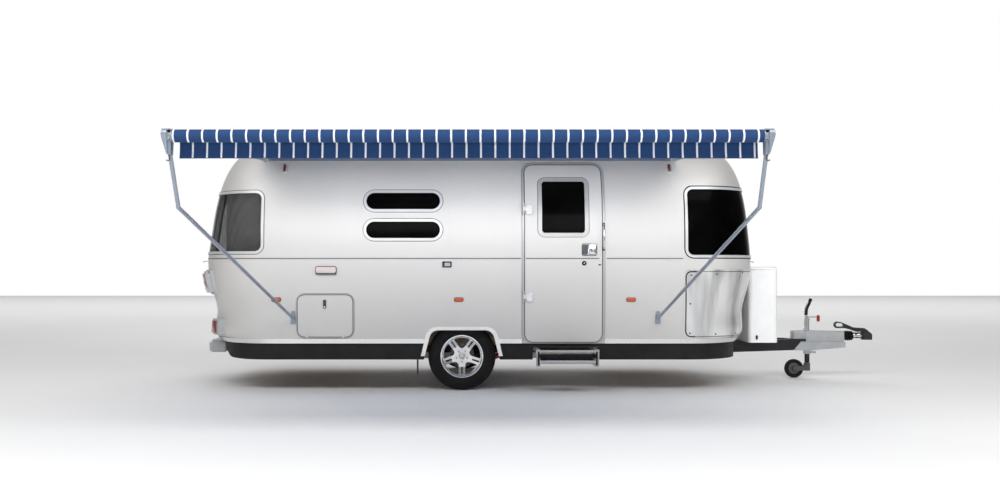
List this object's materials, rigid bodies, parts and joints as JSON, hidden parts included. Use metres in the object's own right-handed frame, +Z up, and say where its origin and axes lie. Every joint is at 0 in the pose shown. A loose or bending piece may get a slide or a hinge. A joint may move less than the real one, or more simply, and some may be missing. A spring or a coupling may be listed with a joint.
{
  "type": "travel caravan",
  "caption": "Riveted aluminium touring caravan with rounded ends, wrap-round windows, an entrance door, a drawbar with gas locker and jockey wheel, and a roll-out awning.",
  "frame": {"origin": "centre of the tow ball in the coupling head", "axes": "+X forward along the drawbar, +Y to the caravan's left, +Z up; the entrance is on the -Y side"},
  "size_m": [7.1502, 5.5591, 2.569],
  "materials": {
    "skin": "satin",
    "bright_trim": "polished",
    "wood": "matt",
    "dark_glass": "smooth",
    "curtain": "woven",
    "chrome": "polished",
    "black_plastic": "satin",
    "amber_lamp": "gloss",
    "clear_lamp": "gloss",
    "red_lamp": "gloss",
    "vent_white": "satin",
    "chassis_black": "satin",
    "belly_grey": "satin",
    "damper_red": "gloss",
    "rubber": "matt",
    "locker_white": "gloss",
    "cast_grey": "painted",
    "zinc": "galvanised",
    "jockey_tyre": "matt",
    "alloy": "machined",
    "tyre": "matt",
    "awning_cloth": "woven",
    "awning_metal": "satin"
  },
  "bodies": {
    "chassis": {"near_wall": "skin", "far_wall": "skin", "roof_panel": "skin", "front_cap": "skin", "rear_cap": "skin", "body_trims": "bright_trim", "door_frame": "bright_trim", "hatch_frame": "bright_trim", "stone_guards": "bright_trim", "window_frames": "bright_trim", "step_frame": "bright_trim", "floor_panel": "wood", "window_panes": "dark_glass", "curtains": "curtain", "grab_handle": "chrome", "side_skirts": "black_plastic", "coupling_handle": "black_plastic", "handbrake_lever": "black_plastic", "side_lamps": "amber_lamp", "wall_fittings": "clear_lamp", "tail_lamps": "red_lamp", "roof_vent": "vent_white", "chassis_rails": "chassis_black", "a_frame": "chassis_black", "coupling_head": "chassis_black", "axle_beam": "chassis_black", "swing_arms": "chassis_black", "belly_pan": "belly_grey", "dampers": "damper_red", "mud_flaps": "rubber", "bellows": "rubber", "gas_locker": "locker_white", "overrun_housing": "cast_grey", "rear_bumper": "cast_grey", "jockey_tube": "zinc", "awning_fabric": "awning_cloth", "awning_rail": "awning_metal", "awning_roller": "awning_metal", "awning_arms": "awning_metal"},
    "entrance_door": {"entrance_door": "skin", "door_window": "bright_trim", "door_pane": "dark_glass", "door_latch": "chrome"},
    "service_hatch": {"service_hatch": "skin", "hatch_latch": "black_plastic"},
    "locker_lid": {"locker_lid": "locker_white"},
    "vent_lid": {"vent_lid": "vent_white"},
    "wheel_near": {"rim_near": "alloy", "tyre_near": "tyre"},
    "wheel_far": {"rim_far": "alloy", "tyre_far": "tyre"},
    "jockey_fork": {"jockey_fork": "zinc"},
    "jockey_wheel": {"jockey_wheel": "jockey_tyre"},
    "entry_step": {"entry_step": "bright_trim"},
    "steady_rear_near": {"steady_rear_near": "zinc"},
    "steady_rear_far": {"steady_rear_far": "zinc"},
    "steady_front_near": {"steady_front_near": "zinc"},
    "steady_front_far": {"steady_front_far": "zinc"}
  },
  "joints": [
    {"name": "near_wheel_spin", "type": "hinge", "parent": "chassis", "child": "wheel_near", "pos_m": [-4.45, -1.055, -0.11], "axis": [0, 1, 0], "continuous": true},
    {"name": "far_wheel_spin", "type": "hinge", "parent": "chassis", "child": "wheel_far", "pos_m": [-4.45, 1.055, -0.11], "axis": [0, 1, 0], "continuous": true},
    {"name": "jockey_swivel", "type": "hinge", "parent": "chassis", "child": "jockey_fork", "pos_m": [-0.656, 0, -0.195], "axis": [0, 0, 1], "continuous": true},
    {"name": "jockey_spin", "type": "hinge", "parent": "jockey_fork", "child": "jockey_wheel", "pos_m": [-0.802, 0, -0.3435], "axis": [0, 1, 0], "continuous": true},
    {"name": "door_swing", "type": "hinge", "parent": "chassis", "child": "entrance_door", "pos_m": [-3.844, -1.28, 0.555], "axis": [0, 0, -1], "range_deg": [0, 150]},
    {"name": "hatch_drop", "type": "hinge", "parent": "chassis", "child": "service_hatch", "pos_m": [-5.79, -1.252, 0.079], "axis": [1, 0, 0], "range_deg": [0, 95]},
    {"name": "locker_lid_lift", "type": "hinge", "parent": "chassis", "child": "locker_lid", "pos_m": [-1.459, 0, 0.789], "axis": [0, -1, 0], "range_deg": [0, 75]},
    {"name": "vent_lift", "type": "hinge", "parent": "chassis", "child": "vent_lid", "pos_m": [-4.894, 0, 2.09], "axis": [0, 1, 0], "range_deg": [0, 60]},
    {"name": "step_slide", "type": "slide", "parent": "chassis", "child": "entry_step", "axis": [0, 1, 0], "range_m": [0, 0.24]},
    {"name": "steady_rear_near_fold", "type": "hinge", "parent": "chassis", "child": "steady_rear_near", "pos_m": [-6.19, -0.75, -0.149], "axis": [0, -1, 0], "range_deg": [0, 38]},
    {"name": "steady_rear_far_fold", "type": "hinge", "parent": "chassis", "child": "steady_rear_far", "pos_m": [-6.19, 0.75, -0.149], "axis": [0, -1, 0], "range_deg": [0, 38]},
    {"name": "steady_front_near_fold", "type": "hinge", "parent": "chassis", "child": "steady_front_near", "pos_m": [-2.89, -0.75, -0.149], "axis": [0, 1, 0], "range_deg": [0, 38]},
    {"name": "steady_front_far_fold", "type": "hinge", "parent": "chassis", "child": "steady_front_far", "pos_m": [-2.89, 0.75, -0.149], "axis": [0, 1, 0], "range_deg": [0, 38]}
  ]
}
